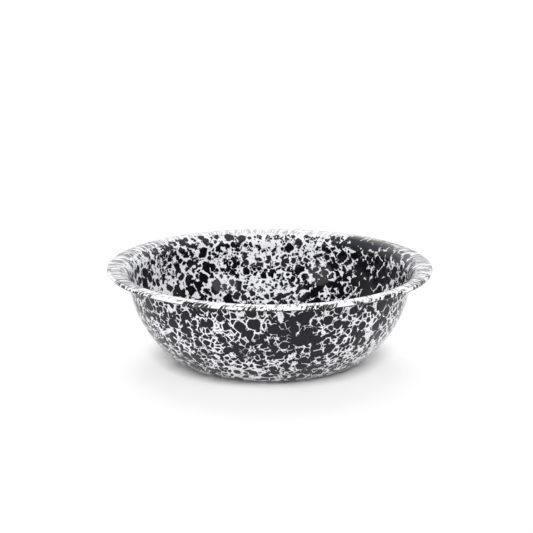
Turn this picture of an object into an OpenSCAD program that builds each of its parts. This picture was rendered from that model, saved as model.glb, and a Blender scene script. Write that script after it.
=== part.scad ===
// A basin bowl of pressed sheet steel with a lip that rolls outwards and a curled rim,
// covered on every face in fired enamel. Sizes are in millimetres. The origin is on the
// table under the middle of the bowl, and +Z points up.

/* [Overall] */
// Diameter over the rolled rim
rim_diameter = 292; // [284:1:304]
// Height of the lip's crest above the table
bowl_height = 86; // [80:1:94]

/* [Base] */
// Diameter where the flat underside turns up into the corner
base_diameter = 142; // [132:1:150]
// Radius of the corner between base and wall, on its outside
corner_radius = 33; // [26:1:40]
// Width of the flat resting ring, between the corner and the foot of the panel's step
ring_width = 11; // [6:1:24]
// Height that the panel is raised above the resting ring
panel_rise = 1; // [0.4:0.1:2]
// Radius of the two bends in the panel's step
step_radius = 4; // [3:0.5:8]

/* [Wall and lip] */
// Radius of the wall's curve, on its outside
wall_radius = 98; // [90:1:110]
// Radius at which the lip rolls outwards, on its top
lip_radius = 13; // [10:0.5:15]
// Distance from the lip's crest out to the edge of the rim
crest_inset = 7.5; // [6:0.5:9]
// Slope at which the lip falls from its crest to the rim, in degrees
lip_droop = 5; // [2:1:8]

/* [Rolled rim] */
// Diameter of the rolled rim over its enamel
roll_diameter = 3.6; // [3.2:0.1:4.6]
// Angle through which the sheet is curled, in degrees
roll_turn = 280; // [265:5:290]
// Width of the rim coat on top of the lip, inboard of the roll's middle
rim_coat_width = 2; // [1:0.5:3]
// Radius of the glass fillet in the crevice under the rolled rim
seam_fillet = 0.8; // [0.6:0.1:1.2]

/* [Sheet and enamel] */
// Thickness of the steel sheet
sheet_thickness = 0.7; // [0.5:0.1:0.9]
// Thickness of the enamel on each face
enamel_thickness = 0.25; // [0.2:0.05:0.35]

/* [Hidden] */
$fn = 160;

// The four faces of the wall's layers, as depths from the outside of the enamel.
total_thickness = sheet_thickness + 2 * enamel_thickness;
steel_outside = enamel_thickness;
steel_inside = enamel_thickness + sheet_thickness;

// The rolled rim. Its middle lies this far below the top of the lip.
roll_radius = roll_diameter / 2;
droop_out = 90 - lip_droop;
lip_centre = [rim_diameter / 2 - crest_inset, bowl_height - lip_radius];
roll_x = rim_diameter / 2 - roll_radius;
lip_end_x = lip_centre.x + (lip_radius - roll_radius) * cos(droop_out);
lip_flat = (roll_x - lip_end_x) / cos(lip_droop);
outwards = [cos(lip_droop), -sin(lip_droop)];
roll_centre = polar(lip_centre, lip_radius - roll_radius, droop_out) + lip_flat * outwards;

// The wall is one arc that meets both the corner's circle and the lip's circle without a kink,
// so its centre is where two larger circles about those centres cross.
base_radius = base_diameter / 2;
corner_centre = [base_radius, corner_radius];
to_corner = wall_radius - corner_radius;
to_lip = wall_radius + lip_radius - total_thickness;
spread = norm(lip_centre - corner_centre);
along = (spread * spread + to_corner * to_corner - to_lip * to_lip) / (2 * spread);
aside = sqrt(to_corner * to_corner - along * along);
ahead = (lip_centre - corner_centre) / spread;
wall_centre = corner_centre + along * ahead + aside * [-ahead.y, ahead.x];
corner_end = bearing(wall_centre, corner_centre);
wall_end = bearing(wall_centre, lip_centre);

// The panel's step is two equal bends, one the other way up.
panel_radius = base_radius - ring_width;
step_angle = acos(1 - panel_rise / (2 * step_radius));
step_run = 2 * step_radius * sin(step_angle);
step_top = [panel_radius - step_run, panel_rise - step_radius];
step_foot = [panel_radius, step_radius];

// Where one stretch of the profile ends and the next begins. Each joint is a cut square across
// the wall, from a point outside the bowl to a point inside it.
reach = roll_radius - total_thickness;
panel_joint = joint([step_top.x, panel_rise], 90);
step_joint = joint(polar(step_foot, step_radius, -90 - step_angle), 90 - step_angle);
ring_joint = joint([panel_radius, 0], 90);
base_joint = joint([base_radius, 0], 90);
corner_face = polar(corner_centre, corner_radius, corner_end);
corner_joint = joint(corner_face, bearing(corner_face, corner_centre));
wall_face = polar(wall_centre, wall_radius, wall_end);
wall_joint = joint(wall_face, bearing(wall_face, wall_centre));
lip_joint = joint(polar(lip_centre, lip_radius - total_thickness, droop_out), droop_out);
roll_joint = joint(polar(roll_centre, reach, droop_out), droop_out);
coat_joint = [for (point = roll_joint) point - rim_coat_width * outwards];
seam_joint = [for (point = roll_joint) point - roll_radius * outwards];

// The fillet's circle bites this far into the two faces that it joins.
fillet_bite = 0.04;
fillet_drop = seam_fillet - reach - fillet_bite;
fillet_gap = roll_radius + seam_fillet - fillet_bite;
fillet_centre = [-sqrt(fillet_gap * fillet_gap - fillet_drop * fillet_drop), -fillet_drop];

function polar(centre, radius, angle) = centre + radius * [cos(angle), sin(angle)];
function bearing(from, to) = atan2(to.y - from.y, to.x - from.x);
function joint(face, inwards) = [polar(face, -reach, inwards), polar(face, total_thickness + reach, inwards)];

// Five-sided outline round an arc's stretch, between the cuts at its two ends. The far points lie
// beyond the arc and the near ones lie on the side of its centre.
function sector(centre, far_a, far_b, near_b, near_a) =
    let (
        middle = (far_a + far_b) / 2 - centre,
        long = norm(far_a - centre),
        corner = centre + middle * long * long / (middle * middle)
    )
    [far_a, corner, far_b, near_b, near_a];

module ring(centre, small, large) {
    translate(centre)
        difference() {
            circle(large);
            circle(small);
        }
}

// A stretch that curves round a centre inside the bowl.
module inward_bend(centre, radius, start, stop, outside, inside) {
    intersection() {
        ring(centre, radius - inside, radius - outside);
        polygon(sector(centre, start[0], stop[0], stop[1], start[1]));
    }
}

// A stretch that curves round a centre outside the bowl.
module outward_bend(centre, radius, start, stop, outside, inside) {
    intersection() {
        ring(centre, radius + outside, radius + inside);
        polygon(sector(centre, start[1], stop[1], stop[0], start[0]));
    }
}

module at_roll() {
    translate(roll_centre)
        rotate(-lip_droop)
            children();
}

// The straight part of the lip between its bend and the roll, or a stretch of it.
module lip_strip(start, stop, outside, inside) {
    intersection() {
        at_roll()
            translate([-2 * crest_inset, reach + outside])
                square([3 * crest_inset, inside - outside]);
        polygon([start[0], start[1], stop[1], stop[0]]);
    }
}

// The gap that the curl leaves open, as an outline from its middle.
module roll_gap() {
    half = (360 - roll_turn) / 2;
    far = roll_radius + reach + total_thickness;
    polygon([
        roll_joint[0],
        roll_joint[1],
        polar(roll_centre, far / cos(half), droop_out + half),
        polar(roll_centre, far, droop_out + 2 * half)
    ]);
}

// The curled edge between two radii.
module curl(small, large) {
    difference() {
        ring(roll_centre, small, large);
        roll_gap();
    }
}

// The base between two depths: raised panel, step and resting ring.
module base_profile(outside, inside) {
    translate([0, panel_rise + outside])
        square([step_top.x, inside - outside]);
    outward_bend(step_top, step_radius, panel_joint, step_joint, outside, inside);
    inward_bend(step_foot, step_radius, step_joint, ring_joint, outside, inside);
    translate([panel_radius, outside])
        square([ring_width, inside - outside]);
}

// The corner, wall and lip between two depths, up to the start of the lip's straight part.
module wall_profile(outside, inside) {
    inward_bend(corner_centre, corner_radius, base_joint, corner_joint, outside, inside);
    inward_bend(wall_centre, wall_radius, corner_joint, wall_joint, outside, inside);
    outward_bend(lip_centre, lip_radius - total_thickness, wall_joint, lip_joint, outside, inside);
}

// Everything inside the outside of the curl, as far as the curl goes round.
module curl_disc() {
    difference() {
        translate(roll_centre)
            circle(roll_radius);
        roll_gap();
    }
}

// The glass under the lip, and where it fills the crevice between the lip and the curl's edge.
module seam_glass() {
    lip_strip(lip_joint, seam_joint, 0, steel_outside);
    at_roll()
        difference() {
            polygon([
                fillet_centre,
                [-reach - steel_outside, 0],
                [-reach - steel_outside, reach + steel_outside],
                [fillet_centre.x, reach + steel_outside]
            ]);
            translate(fillet_centre)
                circle(seam_fillet);
        }
}

// The pressed sheet: base, corner, wall, lip and hollow curl in one piece.
module steel_shell() {
    color("silver")
        rotate_extrude() {
            base_profile(steel_outside, steel_inside);
            wall_profile(steel_outside, steel_inside);
            lip_strip(lip_joint, roll_joint, steel_outside, steel_inside);
            curl(reach + steel_outside, reach + steel_inside);
        }
}

// The glass on the floor, the inside of the wall and the top of the lip.
module inner_enamel() {
    color("whitesmoke")
        rotate_extrude() {
            base_profile(steel_inside, total_thickness);
            wall_profile(steel_inside, total_thickness);
            lip_strip(lip_joint, coat_joint, steel_inside, total_thickness);
        }
}

// The glass on the outside of the corner and wall, and under the lip as far as the curl's seam.
module outer_enamel() {
    color("dimgray")
        rotate_extrude() {
            wall_profile(0, steel_outside);
            difference() {
                seam_glass();
                curl_disc();
            }
        }
}

// The glass under the base, with the flat ring that meets the table.
module base_enamel() {
    color("gray")
        rotate_extrude()
            base_profile(0, steel_outside);
}

// The glass round the rolled rim, and the edge of the lip beside it.
module rim_enamel() {
    color("white")
        rotate_extrude() {
            lip_strip(coat_joint, roll_joint, steel_inside, total_thickness);
            curl(reach + steel_inside, roll_radius);
        }
}

steel_shell();
inner_enamel();
outer_enamel();
base_enamel();
rim_enamel();
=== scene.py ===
import math

import bmesh
import bpy
import numpy as np
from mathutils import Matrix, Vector, noise


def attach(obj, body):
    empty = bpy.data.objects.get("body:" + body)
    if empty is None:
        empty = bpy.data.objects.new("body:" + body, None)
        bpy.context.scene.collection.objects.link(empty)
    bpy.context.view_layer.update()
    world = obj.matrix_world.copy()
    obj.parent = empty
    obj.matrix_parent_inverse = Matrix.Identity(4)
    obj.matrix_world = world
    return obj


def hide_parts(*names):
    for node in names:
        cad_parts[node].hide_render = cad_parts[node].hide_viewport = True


# Enamel basin bowl: a pressed steel bowl under four coats of fired enamel, white with a
# black spatter. Lengths are in metres, those of the glaze's patterns are in millimetres, and
# angles are in degrees.

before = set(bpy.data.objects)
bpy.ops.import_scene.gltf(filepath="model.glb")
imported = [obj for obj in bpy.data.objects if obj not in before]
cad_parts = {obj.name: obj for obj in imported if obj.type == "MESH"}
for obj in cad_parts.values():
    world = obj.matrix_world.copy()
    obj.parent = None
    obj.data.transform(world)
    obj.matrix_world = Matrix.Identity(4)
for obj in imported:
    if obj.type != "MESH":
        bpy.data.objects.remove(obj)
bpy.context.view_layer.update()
mm = 0.001
up = Vector((0, 0, 1))

bowl = {
    "rimDiameter": 292 * mm,
    "height": 86 * mm,
    "baseDiameter": 142 * mm,
    "cornerRadius": 33 * mm,
    "ringWidth": 11 * mm,
    "panelRise": 1 * mm,
    "stepRadius": 4 * mm,
    "wallRadius": 98 * mm,
    "lipRadius": 13 * mm,
    "crestInset": 7.5 * mm,
    "lipDroop": 5,
    "rollDiameter": 3.6 * mm,
    "rollTurn": 280,
    "rimCoatWidth": 2 * mm,
    "seamFillet": 0.8 * mm,
    "filletBite": 0.04 * mm,
    "sheet": 0.7 * mm,
    "enamel": 0.25 * mm,
    "unevenness": 0.05 * mm,
    "unevenReach": 17 * mm,
    "mergeWithin": 0.002 * mm,
    "creaseAngle": 40,
}

# how finely each stretch of the profile is drawn, and the full turn
steps = {"panel": 18, "step": 5, "ring": 4, "corner": 14, "wall": 44, "lip": 26, "flat": 2,
         "curl": 56, "fillet": 8, "turn": 320}


# The profile is drawn in the XZ plane, from the axis outwards.
def polar(centre, radius, angle):
    turned = math.radians(angle)
    return (centre[0] + radius * math.cos(turned), centre[1] + radius * math.sin(turned))


def bearing(start, end):
    return math.degrees(math.atan2(end[1] - start[1], end[0] - start[0]))


wall = bowl["sheet"] + 2 * bowl["enamel"]
rollRadius = bowl["rollDiameter"] / 2
reach = rollRadius - wall
dropAngle = 90 - bowl["lipDroop"]
lipCentre = (bowl["rimDiameter"] / 2 - bowl["crestInset"], bowl["height"] - bowl["lipRadius"])
outwards = polar((0, 0), 1, -bowl["lipDroop"])
lipEnd = polar(lipCentre, bowl["lipRadius"] - rollRadius, dropAngle)
lipFlat = (bowl["rimDiameter"] / 2 - rollRadius - lipEnd[0]) / outwards[0]
rollCentre = (lipEnd[0] + lipFlat * outwards[0], lipEnd[1] + lipFlat * outwards[1])

baseRadius = bowl["baseDiameter"] / 2
cornerCentre = (baseRadius, bowl["cornerRadius"])
toCorner = bowl["wallRadius"] - bowl["cornerRadius"]
toLip = bowl["wallRadius"] + bowl["lipRadius"] - wall
spread = math.dist(lipCentre, cornerCentre)
along = (spread ** 2 + toCorner ** 2 - toLip ** 2) / (2 * spread)
aside = math.sqrt(toCorner ** 2 - along ** 2)
ahead = ((lipCentre[0] - cornerCentre[0]) / spread, (lipCentre[1] - cornerCentre[1]) / spread)
wallCentre = (cornerCentre[0] + along * ahead[0] - aside * ahead[1],
              cornerCentre[1] + along * ahead[1] + aside * ahead[0])
cornerEnd = bearing(wallCentre, cornerCentre)
wallEnd = bearing(wallCentre, lipCentre)

panelRadius = baseRadius - bowl["ringWidth"]
stepAngle = math.degrees(math.acos(1 - bowl["panelRise"] / (2 * bowl["stepRadius"])))
stepRun = 2 * bowl["stepRadius"] * math.sin(math.radians(stepAngle))
stepTop = (panelRadius - stepRun, bowl["panelRise"] - bowl["stepRadius"])
stepFoot = (panelRadius, bowl["stepRadius"])


def pen(mesh, point):
    return bmesh.ops.create_vert(mesh, co=(point[0], 0, point[1]))["vert"][0]


def bend(mesh, tip, centre, turn, count):
    made = bmesh.ops.spin(mesh, geom=[tip], cent=(centre[0], 0, centre[1]), axis=(0, -1, 0),
                          angle=math.radians(turn), steps=count)
    return next(part for part in made["geom_last"] if isinstance(part, bmesh.types.BMVert))


def run(mesh, tip, point, count):
    stride = (Vector((point[0], 0, point[1])) - tip.co) / count
    for _ in range(count):
        tip = bmesh.ops.extrude_vert_indiv(mesh, verts=[tip])["verts"][0]
        tip.co += stride
    return tip


def drawBase(mesh, depth):
    tip = pen(mesh, (0, bowl["panelRise"] + depth))
    tip = run(mesh, tip, (stepTop[0], bowl["panelRise"] + depth), steps["panel"])
    tip = bend(mesh, tip, stepTop, -stepAngle, steps["step"])
    tip = bend(mesh, tip, stepFoot, stepAngle, steps["step"])
    return run(mesh, tip, (baseRadius, depth), steps["ring"])


def drawWall(mesh, tip):
    tip = bend(mesh, tip, cornerCentre, 90 + cornerEnd, steps["corner"])
    tip = bend(mesh, tip, wallCentre, wallEnd - cornerEnd, steps["wall"])
    return bend(mesh, tip, lipCentre, dropAngle - wallEnd - 180, steps["lip"])


def alongLip(tip, distance):
    return (tip.co.x + distance * outwards[0], tip.co.z + distance * outwards[1])


def drawInner(mesh):
    tip = drawWall(mesh, drawBase(mesh, wall))
    run(mesh, tip, alongLip(tip, lipFlat - bowl["rimCoatWidth"]), steps["flat"])


def drawRim(mesh):
    top = polar(rollCentre, rollRadius, dropAngle)
    tip = pen(mesh, (top[0] - bowl["rimCoatWidth"] * outwards[0],
                     top[1] - bowl["rimCoatWidth"] * outwards[1]))
    tip = run(mesh, tip, top, steps["flat"])
    bend(mesh, tip, rollCentre, -bowl["rollTurn"], steps["curl"])


def drawOuter(mesh):
    # up the wall and under the lip, then round the glass fillet that seals the curl
    tip = drawWall(mesh, pen(mesh, (baseRadius, 0)))
    drop = bowl["seamFillet"] - reach - bowl["filletBite"]
    gap = rollRadius + bowl["seamFillet"] - bowl["filletBite"]
    back = math.sqrt(gap ** 2 - drop ** 2)
    down = polar((0, 0), 1, -bowl["lipDroop"] - 90)
    centre = (rollCentre[0] - back * outwards[0] + drop * down[0],
              rollCentre[1] - back * outwards[1] + drop * down[1])
    start = math.degrees(math.asin((reach + drop) / bowl["seamFillet"]))
    side = math.sqrt(bowl["seamFillet"] ** 2 - (reach + drop) ** 2)
    tip = run(mesh, tip, alongLip(tip, lipFlat - back + side), steps["flat"])
    bend(mesh, tip, centre, -start, steps["fillet"])


def drawUnderside(mesh):
    drawBase(mesh, 0)


# The wet glaze drained off the lip, so that drops are drawn out into thin streaks there.
drainage = {
    "start": 135,          # bearing from the lip's centre where drops begin to stretch
    "share": 0.15,         # how much of the length is left once they are fully stretched
    "settle": 4 * mm,
    "before": 60,          # angle before the top of the roll that is still measured from it
}


def beadArc(radius, height):
    # length round the rolled rim, from where the lip's flat top meets it
    turned = dropAngle - bearing(rollCentre, (radius, height))
    turned = (turned + drainage["before"]) % 360 - drainage["before"]
    return math.radians(turned) * rollRadius


def drained(radius, height):
    # length of glass that drained over the lip, up to this place
    onFlat = (radius - lipCentre[0]) * outwards[0] + (height - lipCentre[1]) * outwards[1]
    if radius > rollCentre[0] or onFlat > lipFlat:
        onFlat = lipFlat + beadArc(radius, height)
    if onFlat > 0:
        return math.radians(drainage["start"] - dropAngle) * bowl["lipRadius"] + onFlat
    turned = drainage["start"] - bearing(lipCentre, (radius, height)) % 360
    return max(0.0, math.radians(turned) * bowl["lipRadius"])


def flowPlace(radius, height, length):
    # where the drained glass came from, down the lip's bend
    if length <= 0:
        return radius, height
    left = drainage["share"] * length
    left += (1 - drainage["share"]) * drainage["settle"] * (1 - math.exp(-length / drainage["settle"]))
    return polar(lipCentre, bowl["lipRadius"],
                 drainage["start"] - math.degrees(left / bowl["lipRadius"]))


# Bearing, height, size and weight of the places where the spatter lies thick or thin, under
# load, and of those where its drops are coarse. On the rim the coarse places are the groups
# of ticks and the gaps between them. One thin place on the inner wall is a painted highlight.
spatterPlaces = {
    "inner": {
        "load": [
            (42, 62, 60, 0.6), (42, 86, 26, 0.25), (85, 70, 24, -0.3), (98, 88, 22, -0.6),
            # (95, 36, 6, -1.6) clears the drops from a small spot on the inner wall: a painted
            # highlight where the small lamp is mirrored
            (95, 36, 6, -1.6), (124, 62, 26, 0.4), (65, 48, 20, 0.45), (40, 24, 24, 0.3),
            (152, 24, 18, 0.3), (158, 64, 26, -0.3), (140, 66, 20, -0.3), (72, 84, 21, -0.8),
        ],
        "coarse": [(176, 55, 60, 1.0), (125, 45, 30, 0.6), (138, 88, 26, -0.9)],
    },
    "outer": {
        "load": [
            (-80, 60, 13, 0.6), (-98, 40, 16, 0.8), (-135, 62, 18, 0.6), (-112, 58, 16, 0.5),
            (-78, 42, 48, 0.5), (-96, 12, 18, -0.9), (-33, 27, 18, -0.8), (-81, 36, 15, 0.5),
            (-121, 36, 16, 0.35), (-136, 14, 20, 0.4), (-60, 62, 20, 0.25), (-38, 64, 16, 0.4),
            (-143, 72, 12, 0.6),
        ],
        "coarse": [(-40, 50, 40, 0.8)],
    },
    "base": {"load": [], "coarse": []},
    "rim": {
        "load": [(42, 62, 60, 0.6), (44, 86, 28, 0.5)],
        "coarse": [
            (-150, 80, 24, 0.4), (-135, 80, 6, 0.3), (-125, 80, 10, -0.3), (-118, 80, 11, 0.3),
            (-110, 80, 5, 0.3), (-103, 80, 9, 0.3), (-92, 80, 17, 0.3), (-82, 80, 9, -0.3),
            (-71, 80, 17, 0.3), (-63, 80, 5, -0.3), (-59, 80, 4, 0.3), (-53, 80, 4, 0.3),
            (-45, 80, 6, 0.3), (-39, 80, 3, 0.3), (-25, 80, 16, 0.3),
        ],
    },
}


def spatterTotal(points, places):
    total = np.zeros(len(points))
    around = np.hypot(points[:, 0], points[:, 1])
    for azimuth, height, size, weight in places:
        turned = math.radians(azimuth)
        offset = (points[:, 0] - around * math.cos(turned)) ** 2
        offset += (points[:, 1] - around * math.sin(turned)) ** 2
        offset += (points[:, 2] - height * mm) ** 2
        total += weight * np.exp(-offset / (size * mm) ** 2)
    return total


def glassCoat(name, draw, node, material, coat):
    print("making", name)
    mesh = bmesh.new()
    drain, bead, flowRadius, flowHeight = (mesh.verts.layers.float.new(part) for part in
                                           ("drain", "bead", "flowRadius", "flowHeight"))
    draw(mesh)
    for vert in mesh.verts:
        length = drained(vert.co.x, vert.co.z) if coat["drains"] else 0.0
        place = flowPlace(vert.co.x, vert.co.z, length)
        vert[drain] = length / mm
        vert[flowRadius] = place[0] / mm
        vert[flowHeight] = place[1] / mm
        vert[bead] = beadArc(vert.co.x, vert.co.z) / mm
    bmesh.ops.spin(mesh, geom=mesh.verts[:] + mesh.edges[:], cent=(0, 0, 0), axis=(0, 0, 1),
                   angle=math.tau, steps=steps["turn"], use_merge=True)
    bmesh.ops.remove_doubles(mesh, verts=mesh.verts[:], dist=bowl["mergeWithin"])
    bmesh.ops.recalc_face_normals(mesh, faces=mesh.faces[:])
    facing = coat["facing"]
    probe = max(mesh.faces, key=lambda face: facing.dot(face.calc_center_median()))
    if probe.normal.dot(facing) < 0:
        bmesh.ops.reverse_faces(mesh, faces=mesh.faces[:])
    mesh.normal_update()
    for vert in mesh.verts:       # fired glass is never quite even
        swell = noise.noise(vert.co / bowl["unevenReach"]) * 0.5 + 0.5
        vert.co -= vert.normal * swell * bowl["unevenness"]
    bmesh.ops.solidify(mesh, geom=mesh.faces[:], thickness=bowl["enamel"])
    data = bpy.data.meshes.new(name)
    mesh.to_mesh(data)
    mesh.free()
    data.shade_smooth()
    data.set_sharp_from_angle(angle=math.radians(bowl["creaseAngle"]))
    points = np.empty(len(data.vertices) * 3, np.float32)
    data.vertices.foreach_get("co", points)
    for kind in ("load", "coarse"):
        total = spatterTotal(points.reshape(-1, 3), coat["places"][kind]).astype(np.float32)
        data.attributes.new(kind, "FLOAT", "POINT").data.foreach_set("value", total)
    piece = bpy.data.objects.new(name, data)
    bpy.context.scene.collection.objects.link(piece)
    data.materials.append(material)
    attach(piece, "root")
    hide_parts(node)
    return piece


def addNode(tree, kind, inputs=None, **settings):
    made = tree.nodes.new("ShaderNode" + kind)
    for name, value in settings.items():
        setattr(made, name, value)
    for name, value in (inputs or {}).items():
        if isinstance(value, bpy.types.NodeSocket):
            tree.links.new(value, made.inputs[name])
        else:
            made.inputs[name].default_value = value
    return made


def reckon(tree, operation, first, second=0.0, third=0.0):
    return addNode(tree, "Math", {0: first, 1: second, 2: third}, operation=operation).outputs[0]


def plus(tree, first, second):
    return addNode(tree, "VectorMath", {0: first, 1: second}, operation="ADD").outputs[0]


def times(tree, vector, factor):
    return addNode(tree, "VectorMath", {0: vector, "Scale": factor}, operation="SCALE").outputs[0]


def upwards(tree, height):
    return addNode(tree, "CombineXYZ", {2: height}).outputs[0]


def attribute(tree, name):
    return addNode(tree, "Attribute", attribute_name=name).outputs["Fac"]


def fade(tree, value, low, high, start=0.0, end=1.0, curve="SMOOTHSTEP"):
    return addNode(tree, "MapRange", {"Value": value, "From Min": low, "From Max": high,
                                      "To Min": start, "To Max": end},
                   interpolation_type=curve).outputs["Result"]


def mixColour(tree, share, first, second):
    return addNode(tree, "Mix", {0: share, 6: first, 7: second}, data_type="RGBA").outputs[2]


def cloud(tree, place, grain):
    # a noise, from its size, its detail and the shift that makes it unlike the others
    moved = plus(tree, place, grain.get("shift", (0, 0, 0)))
    return addNode(tree, "TexNoise", {"Vector": moved, "Scale": 1 / grain["size"],
                                      "Detail": grain.get("detail", 2.0)})


def patchy(tree, place, grain, start=0.0, end=1.0, curve="SMOOTHSTEP"):
    value = cloud(tree, place, grain).outputs[0]
    return fade(tree, value, grain["from"], grain["to"], start, end, curve)


def pushed(tree, place, grain):
    # the place, pushed about by a noise
    away = addNode(tree, "VectorMath", {0: cloud(tree, place, grain).outputs["Color"],
                                        1: (grain["centre"],) * 3}, operation="SUBTRACT").outputs[0]
    return addNode(tree, "VectorMath", {0: away, 1: (grain["reach"],) * 3, 2: place},
                   operation="MULTIPLY_ADD").outputs[0]


def newMaterial(name):
    material = bpy.data.materials.new(name)
    material.use_nodes = True
    material.node_tree.nodes.clear()
    return material, material.node_tree


def finishMaterial(tree, shader):
    addNode(tree, "OutputMaterial", {"Surface": shader})


def outwardOf(tree):
    here = addNode(tree, "TexCoord").outputs["Object"]
    flat = addNode(tree, "VectorMath", {0: here, 1: (1, 1, 0)}, operation="MULTIPLY").outputs[0]
    return addNode(tree, "VectorMath", {0: flat}, operation="NORMALIZE").outputs[0]


def towardsBack(tree):
    # 1 at the back of the bowl, 0 at its sides and -1 at its front
    return addNode(tree, "SeparateXYZ", {0: outwardOf(tree)}).outputs[1]


def flowPattern(tree):
    # the place on the undrained glass, in millimetres
    ring = times(tree, outwardOf(tree), attribute(tree, "flowRadius"))
    return plus(tree, ring, upwards(tree, attribute(tree, "flowHeight")))


def acrossLip(tree, length, slant, kept):
    # a place on the rim with its length across the lip drawn out, and slanted round the rim
    outward = outwardOf(tree)
    sideways = addNode(tree, "VectorMath", {0: up, 1: outward},
                       operation="CROSS_PRODUCT").outputs[0]
    ring = times(tree, outward, bowl["rimDiameter"] / 2 / mm)
    slid = times(tree, sideways, reckon(tree, "MULTIPLY", length, slant))
    return plus(tree, plus(tree, ring, slid), upwards(tree, reckon(tree, "MULTIPLY", length, kept)))


glaze = {
    "white": (0.91, 0.905, 0.935, 1),
    "milky": (0.86, 0.86, 0.90, 1),
    "paleBlack": (0.045, 0.046, 0.056, 1),
    "streak": (0.04, 0.04, 0.055, 1),
    "tick": (0.014, 0.013, 0.012, 1),
    "paleTick": (0.12, 0.118, 0.112, 1),
    "edge": 0.14,               # soft width of a drop's edge
    "gloss": (0.05, 0.11),      # roughness, from clean glass to worn glass
    "ior": 1.5,
    "shine": 0.18,
    "relief": 0.03 * mm,
    "milk": {"size": 14.0, "shift": (1, 2, 3), "from": 0.3, "to": 0.7},
    "specks": {"size": 0.8, "detail": 1.0, "shift": (9, 1, 3), "from": 0.62, "to": 0.8},
    "wear": {"size": 9.0, "detail": 3.0, "shift": (5, 5, 5), "from": 0.3, "to": 0.7},
    "peel": {"size": 3.4, "detail": 1.0, "shift": (2, 9, 4), "share": 0.35},
}

spatter = {
    "inner": {
        # the same black glaze as outside, made darker here: painted shade inside the bowl
        "black": (0.0028, 0.0027, 0.0052, 1),
        "warp": {"size": 4.2, "detail": 2.5, "centre": 0.5, "reach": 4.6},
        "patches": {"size": 32.0, "shift": (11, 3, 40), "from": 0.3, "to": 0.7, "weight": 0.5},
        "veins": {"size": 6.0, "detail": 1.0, "shift": (31, 7, 19), "from": 0.30, "to": 0.68,
                  "least": -1.1, "most": 2.0, "follow": 0.7},
        "drops": [
            {"size": 11.0, "shift": (3, 5, 2), "least": 0.18, "spread": 0.42, "follow": 0.34,
             "round": 0.12, "veinShare": 1.0, "coarse": 0.22},
            {"size": 5.4, "shift": (17, 29, 10), "least": 0.35, "spread": 0.40, "follow": 0.22,
             "round": 0.12, "veinShare": 0.8, "coarse": -0.12},
            {"size": 2.9, "shift": (43, 73, 26), "least": 0.32, "spread": 0.34, "follow": -0.1,
             "round": 0.15, "veinShare": 0.6, "coarse": -0.5},
            {"size": 1.9, "shift": (61, 104, 37), "least": 0.12, "spread": 0.40, "follow": -0.1,
             "round": 0.15, "veinShare": 0.5, "coarse": -0.5},
        ],
    },
    "outer": {
        # the black glaze without the painted shade that darkens it inside the bowl
        "black": (0.015, 0.0135, 0.0185, 1),
        "warp": {"size": 4.0, "detail": 2.5, "centre": 0.5, "reach": 2.8},
        "patches": {"size": 26.0, "shift": (71, 13, 5), "from": 0.3, "to": 0.7, "weight": 0.5},
        "veins": {"size": 7.0, "detail": 1.0, "shift": (31, 7, 19), "from": 0.30, "to": 0.52,
                  "least": -0.9, "most": 1.0, "follow": 0.7},
        "drops": [
            {"size": 11.0, "shift": (3, 5, 2), "least": 0.12, "spread": 0.42, "follow": 0.2,
             "round": 0.08, "veinShare": 0.9, "coarse": 0.2},
            {"size": 5.2, "shift": (17, 29, 10), "least": 0.50, "spread": 0.40, "follow": 0.16,
             "round": 0.10, "veinShare": 0.9, "coarse": -0.05},
            {"size": 2.7, "shift": (43, 73, 26), "least": 0.46, "spread": 0.30, "follow": 0.0,
             "round": 0.15, "veinShare": 0.7, "coarse": -0.4},
            {"size": 1.6, "shift": (61, 104, 37), "least": 0.30, "spread": 0.30, "follow": -0.05,
             "round": 0.15, "veinShare": 0.6, "coarse": -0.4},
        ],
    },
    "bareGround": -1000.0,      # distance inside the black before any drop has fallen
}

# where the drops thin out towards the edge of the lip, and where their black turns paler high on the
# lip
fading = {
    "from": 0.0, "to": 7.0, "shrink": 4.0,
    "holds": 9.0,               # how far a full load carries the drops on
    "backFrom": 0.2, "backTo": 0.9, "backHolds": 1.5,
    "wander": {"size": 3.0, "detail": 1.0, "shift": (2, 2, 8), "reach": 3.0},
    "paleFrom": 74.0, "paleTo": 83.0,
}

streaks = {
    "slant": 0.25, "kept": 0.15,
    "grain": {"size": 2.0, "from": 0.507, "to": 0.583},
    "waver": {"size": 5.0, "detail": 1.0, "shift": (8, 2, 4), "centre": 0.0, "reach": 2.4},
    "tone": {"size": 8.0, "detail": 1.0, "shift": (7, 7, 1), "from": 0.3, "to": 0.55, "least": 0.5},
    "wander": {"size": 4.0, "detail": 1.0, "shift": (1, 6, 6), "reach": 5.0},
    "from": -2.0, "full": 2.5, "sureFrom": 2.0,
    # at the back and the front of the bowl they are fewer and paler than at its sides
    "side": 0.4, "back": 0.85,
    "backShare": 0.5, "frontShare": 0.8, "backRare": 0.07, "frontRare": 0.1,
    "beadFrom": 15.0, "beadTo": 17.0, "frontBead": 0.05, "sideBead": 0.5,
}

# On the rolled rim the spatter is short slanting ticks, in groups; a dark band along the roll's
# underside is painted shade.
ticks = {
    "size": 2.9, "slant": 0.6, "kept": 0.45, "least": 0.34, "spread": 0.38, "edge": 0.05,
    "flecks": {"size": 1.7, "detail": 1.0, "shift": (4, 4, 9), "from": 0.58, "to": 0.66,
               "slant": 0.3, "kept": 1.0},
    "groups": {"size": 13.0, "detail": 1.0, "shift": (3, 8, 1), "from": 0.50, "to": 0.58},
    "pale": {"size": 3.0, "detail": 1.0, "shift": (9, 2, 2), "from": 0.50, "to": 0.70},
    "uneven": {"size": 2.0, "shift": (6, 6, 6)},
    "topRagged": 2.0, "topFrom": -1.0, "topTo": 0.0,
    # painted shade: the roll is darkened along its underside, beyond about 3.5 to 3.9 mm round it
    "underShadeRagged": 0.8, "underShadeFrom": 3.5, "underShadeTo": 3.9,
    "thickRagged": 0.8, "thickFrom": 0.9, "thickTo": 1.3,
}

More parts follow.
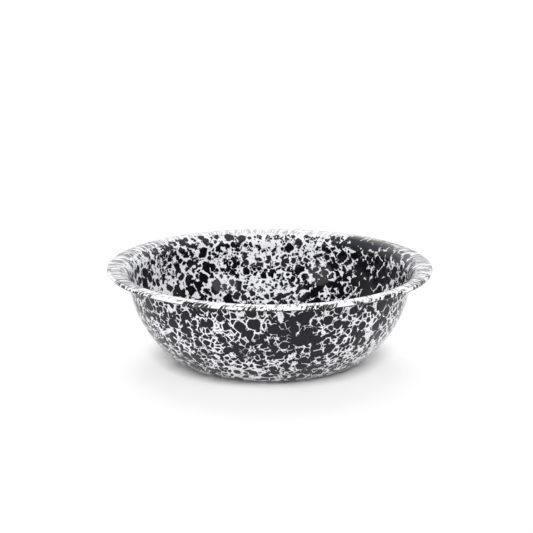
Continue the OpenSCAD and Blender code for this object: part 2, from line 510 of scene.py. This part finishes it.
steel = {
    "dull": (0.30, 0.31, 0.33, 1),
    "bright": (0.42, 0.43, 0.45, 1),
    "gloss": (0.3, 0.5),
    "grain": {"size": 1.5, "detail": 4.0, "from": 0.3, "to": 0.7},
}


def dropLayer(tree, place, load, coarse, layer):
    # distance inside the layer's drops, and half the distance to the next drop
    moved = plus(tree, place, layer["shift"])
    nearest, second = (addNode(tree, "TexVoronoi", {"Vector": moved, "Scale": 1 / layer["size"]},
                               feature=feature) for feature in ("F1", "F2"))
    chance = addNode(tree, "SeparateColor", {0: nearest.outputs["Color"]}).outputs[0]
    radius = reckon(tree, "MULTIPLY_ADD", chance, layer["spread"], layer["least"])
    radius = reckon(tree, "MULTIPLY_ADD", load, layer["follow"], radius)
    radius = reckon(tree, "MULTIPLY_ADD", coarse, layer["coarse"], radius)
    inside = reckon(tree, "SUBTRACT", radius, nearest.outputs["Distance"])
    between = reckon(tree, "SUBTRACT", second.outputs["Distance"], nearest.outputs["Distance"])
    return (reckon(tree, "MULTIPLY", inside, layer["size"]),
            reckon(tree, "MULTIPLY", between, layer["size"] / 2))


def spatterField(tree, flow, load, look):
    # Distance inside the black, and below zero on the white ground. Drops of several sizes
    # lie one over another and leave white veins between them, which close where the spatter
    # is thick.
    place = pushed(tree, flow, look["warp"])
    patches = patchy(tree, flow, look["patches"], -1, 1, "LINEAR")
    load = reckon(tree, "MULTIPLY_ADD", patches, look["patches"]["weight"], load)
    coarse = attribute(tree, "coarse")
    veins = look["veins"]
    vein = patchy(tree, flow, veins, veins["least"], veins["most"])
    vein = reckon(tree, "MULTIPLY_ADD", load, -veins["follow"], vein)
    field = spatter["bareGround"]
    for layer in look["drops"]:
        inside, between = dropLayer(tree, place, load, coarse, layer)
        border = reckon(tree, "MULTIPLY_ADD", vein, -0.5 * layer["veinShare"], between)
        drops = reckon(tree, "SMOOTH_MIN", inside, border, layer["round"] * layer["size"])
        clear = reckon(tree, "MULTIPLY_ADD", vein, layer["veinShare"], field)
        clear = reckon(tree, "MULTIPLY", clear, -1.0)
        field = reckon(tree, "MAXIMUM", field, reckon(tree, "MINIMUM", drops, clear))
    return field


def lipStreaks(tree, drain):
    # share of thin grey streaks, which begin where the drops end
    back = towardsBack(tree)
    side, end = streaks["side"], streaks["back"]
    place = acrossLip(tree, drain, streaks["slant"], streaks["kept"])
    fine = cloud(tree, pushed(tree, place, streaks["waver"]), streaks["grain"]).outputs[0]
    fine = reckon(tree, "ADD", fine, fade(tree, back, side, end, 0.0, streaks["backRare"]))
    fine = reckon(tree, "ADD", fine, fade(tree, back, -end, -side, streaks["frontRare"], 0.0))
    fine = fade(tree, fine, streaks["grain"]["from"], streaks["grain"]["to"], 1.0, 0.0)
    tone = patchy(tree, place, streaks["tone"], streaks["tone"]["least"], 1.0)
    fine = reckon(tree, "MULTIPLY", fine, tone)
    begun = cloud(tree, place, streaks["wander"]).outputs[0]
    begun = reckon(tree, "MULTIPLY_ADD", begun, -streaks["wander"]["reach"], drain)
    begun = reckon(tree, "MINIMUM", begun, reckon(tree, "SUBTRACT", drain, streaks["sureFrom"]))
    fine = reckon(tree, "MULTIPLY", fine, fade(tree, begun, streaks["from"], streaks["full"]))
    atBack = fade(tree, back, side, end, 1.0, streaks["backShare"])
    atFront = fade(tree, back, -end, -side, streaks["frontShare"], 1.0)
    fine = reckon(tree, "MULTIPLY", reckon(tree, "MULTIPLY", fine, atBack), atFront)
    onBead = fade(tree, back, -side, 0.0, streaks["frontBead"], streaks["sideBead"])
    onBead = fade(tree, drain, streaks["beadFrom"], streaks["beadTo"], 1.0, onBead)
    return reckon(tree, "MULTIPLY", fine, onBead)


def enamelColour(tree, flow, look):
    load = attribute(tree, "load")
    drain = attribute(tree, "drain")
    atBack = fade(tree, towardsBack(tree), fading["backFrom"], fading["backTo"])
    held = reckon(tree, "MULTIPLY_ADD", atBack, -fading["backHolds"], drain)
    held = reckon(tree, "MULTIPLY_ADD", load, -fading["holds"], held)
    wander = cloud(tree, flow, fading["wander"]).outputs[0]
    held = reckon(tree, "MULTIPLY_ADD", wander, -fading["wander"]["reach"], held)
    held = reckon(tree, "MINIMUM", held, drain)
    gone = fade(tree, held, fading["from"], fading["to"])
    field = spatterField(tree, flow, load, look)
    field = reckon(tree, "MULTIPLY_ADD", gone, -fading["shrink"], field)
    dark = fade(tree, field, -glaze["edge"], glaze["edge"])
    # the black turns paler high on the lip, towards its crest, and in random specks
    high = fade(tree, attribute(tree, "flowHeight"), fading["paleFrom"], fading["paleTo"])
    paleShare = reckon(tree, "MAXIMUM", patchy(tree, flow, glaze["specks"]), high)
    black = mixColour(tree, paleShare, look["black"], glaze["paleBlack"])
    milk = patchy(tree, flow, glaze["milk"], 0, 1, "LINEAR")
    white = mixColour(tree, milk, glaze["white"], glaze["milky"])
    white = mixColour(tree, lipStreaks(tree, drain), white, glaze["streak"])
    return mixColour(tree, dark, white, black), dark


def rimColour(tree, bead, place):
    colour = mixColour(tree, lipStreaks(tree, attribute(tree, "drain")), glaze["white"],
                       glaze["streak"])
    tick = addNode(tree, "TexVoronoi", {"Vector": place, "Scale": 1 / ticks["size"]}, feature="F1")
    chance = addNode(tree, "SeparateColor", {0: tick.outputs["Color"]}).outputs[0]
    radius = reckon(tree, "MULTIPLY_ADD", chance, ticks["spread"], ticks["least"])
    inside = reckon(tree, "SUBTRACT", radius, tick.outputs["Distance"])
    ticksAndShade = fade(tree, inside, -ticks["edge"], ticks["edge"])
    flecks = ticks["flecks"]
    fleck = patchy(tree, acrossLip(tree, bead, flecks["slant"], flecks["kept"]), flecks)
    ticksAndShade = reckon(tree, "MAXIMUM", ticksAndShade, fleck)
    group = cloud(tree, place, ticks["groups"]).outputs[0]
    group = reckon(tree, "ADD", group, attribute(tree, "coarse"))
    group = fade(tree, group, ticks["groups"]["from"], ticks["groups"]["to"])
    ticksAndShade = reckon(tree, "MULTIPLY", ticksAndShade, group)
    uneven = cloud(tree, place, ticks["uneven"]).outputs[0]
    top = reckon(tree, "MULTIPLY_ADD", uneven, ticks["topRagged"], bead)
    ticksAndShade = reckon(tree, "MULTIPLY", ticksAndShade, fade(tree, top, ticks["topFrom"], ticks["topTo"]))
    # painted shade: the underside of the roll is darkened with the ticks' colour
    underShade = reckon(tree, "MULTIPLY_ADD", uneven, ticks["underShadeRagged"], bead)
    ticksAndShade = reckon(tree, "MAXIMUM", ticksAndShade, fade(tree, underShade, ticks["underShadeFrom"], ticks["underShadeTo"]))
    thick = reckon(tree, "MULTIPLY_ADD", uneven, ticks["thickRagged"], attribute(tree, "load"))
    ticksAndShade = reckon(tree, "MAXIMUM", ticksAndShade, fade(tree, thick, ticks["thickFrom"], ticks["thickTo"]))
    # the ticks' colour, which also colours the painted shade under the roll
    dark = mixColour(tree, patchy(tree, place, ticks["pale"]), glaze["tick"], glaze["paleTick"])
    return mixColour(tree, ticksAndShade, colour, dark), ticksAndShade


def glazeShader(tree, colour, dark, place):
    rough = patchy(tree, place, glaze["wear"], *glaze["gloss"])
    peel = cloud(tree, place, glaze["peel"]).outputs[0]
    height = reckon(tree, "MULTIPLY_ADD", peel, glaze["peel"]["share"], dark)
    bump = addNode(tree, "Bump", {"Height": height, "Distance": glaze["relief"], "Strength": 1.0})
    return addNode(tree, "BsdfPrincipled", {"Base Color": colour, "Roughness": rough,
                                            "IOR": glaze["ior"], "Specular IOR Level": glaze["shine"],
                                            "Normal": bump.outputs[0]}).outputs[0]


def enamelMaterial(name, look):
    material, tree = newMaterial(name)
    flow = flowPattern(tree)
    colour, dark = enamelColour(tree, flow, look)
    finishMaterial(tree, glazeShader(tree, colour, dark, flow))
    return material


def rimMaterial(name):
    material, tree = newMaterial(name)
    bead = attribute(tree, "bead")
    place = acrossLip(tree, bead, ticks["slant"], ticks["kept"])
    colour, ticksAndShade = rimColour(tree, bead, place)
    finishMaterial(tree, glazeShader(tree, colour, ticksAndShade, place))
    return material


def steelMaterial():
    material, tree = newMaterial("pressedSteel")
    place = times(tree, addNode(tree, "TexCoord").outputs["Object"], 1 / mm)
    grain = cloud(tree, place, steel["grain"]).outputs[0]
    colour = mixColour(tree, grain, steel["dull"], steel["bright"])
    rough = fade(tree, grain, steel["grain"]["from"], steel["grain"]["to"], *steel["gloss"])
    shader = addNode(tree, "BsdfPrincipled", {"Base Color": colour, "Metallic": 1.0,
                                              "Roughness": rough}).outputs[0]
    finishMaterial(tree, shader)
    return material


print("mixing the glazes")
innerGlaze = enamelMaterial("innerGlaze", spatter["inner"])
rimGlaze = rimMaterial("rimGlaze")
outerGlaze = enamelMaterial("outerGlaze", spatter["outer"])

glassCoat("innerCoat", drawInner, "inner_enamel", innerGlaze,
          {"facing": up, "drains": True, "places": spatterPlaces["inner"]})
glassCoat("outerCoat", drawOuter, "outer_enamel", outerGlaze,
          {"facing": -up, "drains": False, "places": spatterPlaces["outer"]})
glassCoat("baseCoat", drawUnderside, "base_enamel", outerGlaze,
          {"facing": -up, "drains": False, "places": spatterPlaces["base"]})
glassCoat("rimCoat", drawRim, "rim_enamel", rimGlaze,
          {"facing": up, "drains": True, "places": spatterPlaces["rim"]})

print("giving the shell its steel")
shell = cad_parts["steel_shell"]
shell.data.materials.clear()
shell.data.materials.append(steelMaterial())


studio = {
    "floorSize": 6.0,
    "paper": (0.88, 0.88, 0.88, 1),
    # the shadow at the foot, and a weaker one that reaches out to the front
    "foot": {"centre": (0, 0.008, 0), "from": 0.085, "to": 0.122, "depth": 1.0},
    "front": {"centre": (0, -0.05, 0), "from": 0.10, "to": 0.14, "depth": 0.33},
    "sky": 0.60, "darkFrom": 0.2, "darkTo": 0.6, "ceiling": 0.15, "backdrop": 0.6,
    "lights": {
        "topBox": {"place": (0, -1.0, 1.5), "size": (2.0, 1.2), "power": 7},
        "rightBox": {"place": (1.52, -1.37, 1.5), "size": (1.0, 1.0), "power": 10},
        "leftBox": {"place": (-1.56, -1.40, 1.0), "size": (1.0, 1.0), "power": 8},
        "frontBox": {"place": (-0.2, -2.15, 0.45), "size": (3.0, 1.2), "power": 12},
        "backBox": {"place": (0, 1.6, 1.1), "size": (3.0, 1.6), "power": 10},
        "smallLight": {"place": (0.235, -1.17, 1.064), "size": (0.15, 0.15), "power": 0.7},
    },
    "distance": 1.6,
    "elevation": 14.117,
    "lens": 120.06,
    "sensor": 36,
    "target": (-0.00288, 0, 0.08393),
}


def shade(tree, place, spot):
    away = addNode(tree, "VectorMath", {0: place, 1: spot["centre"]}, operation="DISTANCE")
    return fade(tree, away.outputs["Value"], spot["from"], spot["to"], spot["depth"], 0.0)


print("setting the studio")
stageMesh = bmesh.new()
bmesh.ops.create_grid(stageMesh, x_segments=1, y_segments=1, size=studio["floorSize"])
floorData = bpy.data.meshes.new("floor")
stageMesh.to_mesh(floorData)
stageMesh.free()
floor = bpy.data.objects.new("floor", floorData)
bpy.context.scene.collection.objects.link(floor)

# the paper is seen as white, except where the bowl's shadow falls on it
paper, tree = newMaterial("paper")
place = addNode(tree, "TexCoord").outputs["Object"]
lit = addNode(tree, "BsdfDiffuse", {"Color": studio["paper"]}).outputs[0]
bright = addNode(tree, "Emission", {"Color": (1, 1, 1, 1), "Strength": 1.0}).outputs[0]
ray = addNode(tree, "LightPath").outputs
mirrored = reckon(tree, "MAXIMUM", ray["Is Glossy Ray"], ray["Is Transmission Ray"])
seen = reckon(tree, "MAXIMUM", ray["Is Camera Ray"], mirrored)
footShade = shade(tree, place, studio["foot"])
frontShade = shade(tree, place, studio["front"])
shadow = reckon(tree, "MAXIMUM", footShade, frontShade)
share = reckon(tree, "MULTIPLY", reckon(tree, "SUBTRACT", 1.0, shadow), seen)
finishMaterial(tree, addNode(tree, "MixShader", {0: share, 1: lit, 2: bright}).outputs[0])
floorData.materials.append(paper)

# the glass mirrors a bright front and horizon under a darker ceiling
world = bpy.data.worlds.new("studio")
bpy.context.scene.world = world
world.use_nodes = True
world.node_tree.nodes.clear()
tree = world.node_tree
ray = addNode(tree, "LightPath").outputs
direction = addNode(tree, "TexCoord").outputs["Generated"]
heading = addNode(tree, "SeparateXYZ", {0: direction}).outputs
height = reckon(tree, "MULTIPLY_ADD", heading[1], -studio["backdrop"], heading[2])
overhead = fade(tree, height, studio["darkFrom"], studio["darkTo"], 1.0, studio["ceiling"])
glossy = reckon(tree, "MULTIPLY", overhead, ray["Is Glossy Ray"])
plain = reckon(tree, "SUBTRACT", 1.0, ray["Is Glossy Ray"])
strength = reckon(tree, "MULTIPLY_ADD", plain, studio["sky"], glossy)
sky = addNode(tree, "Background", {"Color": (1, 1, 1, 1), "Strength": strength})
addNode(tree, "OutputWorld", {"Surface": sky.outputs[0]})

for name, box in studio["lights"].items():
    light = bpy.data.lights.new(name, "AREA")
    light.shape = "ELLIPSE"
    light.size, light.size_y = box["size"]
    light.energy = box["power"]
    lamp = bpy.data.objects.new(name, light)
    lamp.location = box["place"]
    lamp.rotation_euler = (-Vector(box["place"])).to_track_quat("-Z", "Y").to_euler()
    bpy.context.scene.collection.objects.link(lamp)

camera = bpy.data.cameras.new("camera")
camera.lens = studio["lens"]
camera.sensor_width = studio["sensor"]
eye = bpy.data.objects.new("camera", camera)
tilt = math.radians(studio["elevation"])
target = Vector(studio["target"])
eye.location = target + studio["distance"] * Vector((0, -math.cos(tilt), math.sin(tilt)))
eye.rotation_euler = (target - eye.location).to_track_quat("-Z", "Y").to_euler()
bpy.context.scene.collection.objects.link(eye)
bpy.context.scene.camera = eye
bpy.context.scene.view_settings.view_transform = "Standard"
